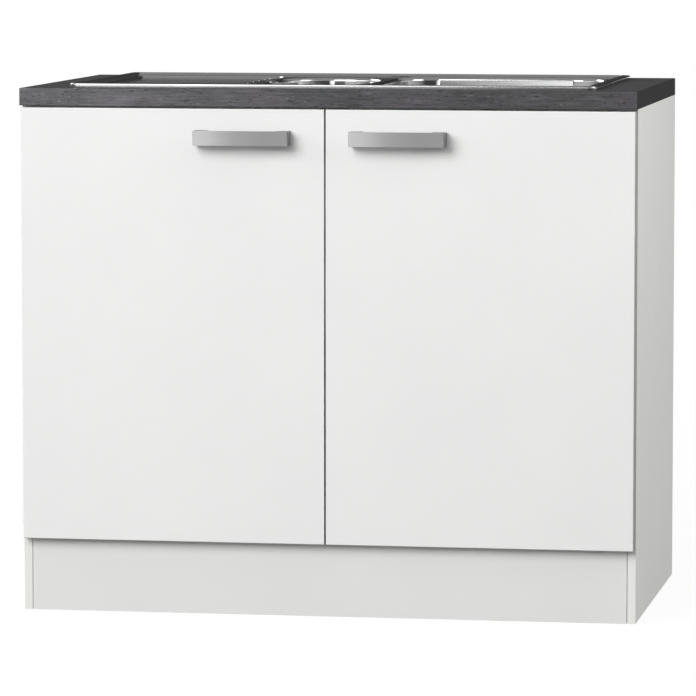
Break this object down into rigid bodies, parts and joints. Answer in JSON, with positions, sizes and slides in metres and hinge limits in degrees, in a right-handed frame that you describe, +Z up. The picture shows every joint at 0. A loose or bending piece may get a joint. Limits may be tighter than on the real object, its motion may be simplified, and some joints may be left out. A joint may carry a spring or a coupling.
{
  "type": "kitchen sink unit",
  "caption": "Floor-standing white sink base unit with paired hinged doors, bow pulls, dark worktop and an inset steel sink with a main bowl, a rinsing bowl and a drainer.",
  "frame": {"origin": "on the floor at the centre of the whole footprint, handles included", "axes": "+X along the unit to the right as seen from the front, +Y from the doors to the wall, +Z up"},
  "size_m": [1, 0.626, 0.8565],
  "materials": {
    "white_board": "smooth white melamine faced chipboard",
    "hardboard": "thin white faced hardboard",
    "white_plastic": "moulded white polypropylene",
    "worktop_laminate": "dark grey stone-look laminate with fine streaks",
    "zinc_steel": "bright zinc plated steel",
    "beech": "plain beech",
    "sink_steel": "satin stainless sheet",
    "seal_rubber": "black rubber and foam",
    "screw_steel": "polished stainless screw",
    "satin_handle": "satin grey cast metal",
    "clear_plastic": "soft clear buffers",
    "hinge_nickel": "nickel plated pressed steel"
  },
  "bodies": {
    "carcass": {"side_panel_left": "white_board", "side_panel_right": "white_board", "bottom_panel": "white_board", "front_rail": "white_board", "rear_rail": "white_board", "plinth_board": "white_board", "back_panel": "hardboard", "plinth_blocks": "white_plastic", "strainer_body": "white_plastic", "small_waste_body": "white_plastic", "overflow_elbow": "white_plastic", "overflow_pipe": "white_plastic", "waste_tee": "white_plastic", "branch_pipe": "white_plastic", "trap_bend": "white_plastic", "trap_outlet_pipe": "white_plastic", "slip_nuts": "white_plastic", "worktop": "worktop_laminate", "worktop_front_edge": "worktop_laminate", "worktop_end_edges": "worktop_laminate", "worktop_brackets": "zinc_steel", "carcass_screws": "zinc_steel", "cams": "zinc_steel", "cam_bolts": "zinc_steel", "sink_clamps": "zinc_steel", "clamp_screws": "zinc_steel", "dowels": "beech", "sink": "sink_steel", "main_bowl": "sink_steel", "small_bowl": "sink_steel", "strainer_flange": "sink_steel", "small_waste_flange": "sink_steel", "overflow_rosette": "sink_steel", "sink_seal": "seal_rubber", "waste_gaskets": "seal_rubber", "strainer_screw": "screw_steel", "hinge_plate_screws_left": "zinc_steel", "hinge_arm_screws_left": "zinc_steel", "hinge_arms_left": "hinge_nickel", "hinge_plates_left": "hinge_nickel", "hinge_plate_screws_right": "zinc_steel", "hinge_arm_screws_right": "zinc_steel", "hinge_arms_right": "hinge_nickel", "hinge_plates_right": "hinge_nickel"},
    "door_leaf_left": {"door_left": "white_board", "handle_left": "satin_handle", "handle_screws_left": "zinc_steel", "door_bumpers_left": "clear_plastic", "hinge_cups_left": "hinge_nickel", "hinge_cup_screws_left": "zinc_steel"},
    "links_left": {"hinge_links_left": "hinge_nickel"},
    "door_leaf_right": {"door_right": "white_board", "handle_right": "satin_handle", "handle_screws_right": "zinc_steel", "door_bumpers_right": "clear_plastic", "hinge_cups_right": "hinge_nickel", "hinge_cup_screws_right": "zinc_steel"},
    "links_right": {"hinge_links_right": "hinge_nickel"},
    "basket": {"strainer_basket": "sink_steel"},
    "plug": {"small_waste_plug": "seal_rubber"}
  },
  "joints": [
    {"name": "door_left_swing", "type": "hinge", "parent": "carcass", "child": "door_leaf_left", "pos_m": [-0.4924, -0.279, 0.469], "axis": [0, 0, -1], "range_deg": [0, 95]},
    {"name": "door_right_swing", "type": "hinge", "parent": "carcass", "child": "door_leaf_right", "pos_m": [0.4924, -0.279, 0.469], "axis": [0, 0, 1], "range_deg": [0, 95]},
    {"name": "links_left_turn", "type": "hinge", "parent": "carcass", "child": "links_left", "pos_m": [-0.4814, -0.266, 0.469], "axis": [0, 0, -1], "range_deg": [0, 81]},
    {"name": "links_right_turn", "type": "hinge", "parent": "carcass", "child": "links_right", "pos_m": [0.4814, -0.266, 0.469], "axis": [0, 0, 1], "range_deg": [0, 81]},
    {"name": "basket_lift", "type": "slide", "parent": "carcass", "child": "basket", "axis": [0, 0, 1], "range_m": [0, 0.19]},
    {"name": "plug_lift", "type": "slide", "parent": "carcass", "child": "plug", "axis": [0, 0, 1], "range_m": [0, 0.105]}
  ],
  "couplings": [
    {"joint": "links_left_turn", "follows": "door_left_swing", "ratio": 0.85},
    {"joint": "links_right_turn", "follows": "door_right_swing", "ratio": 0.85}
  ]
}
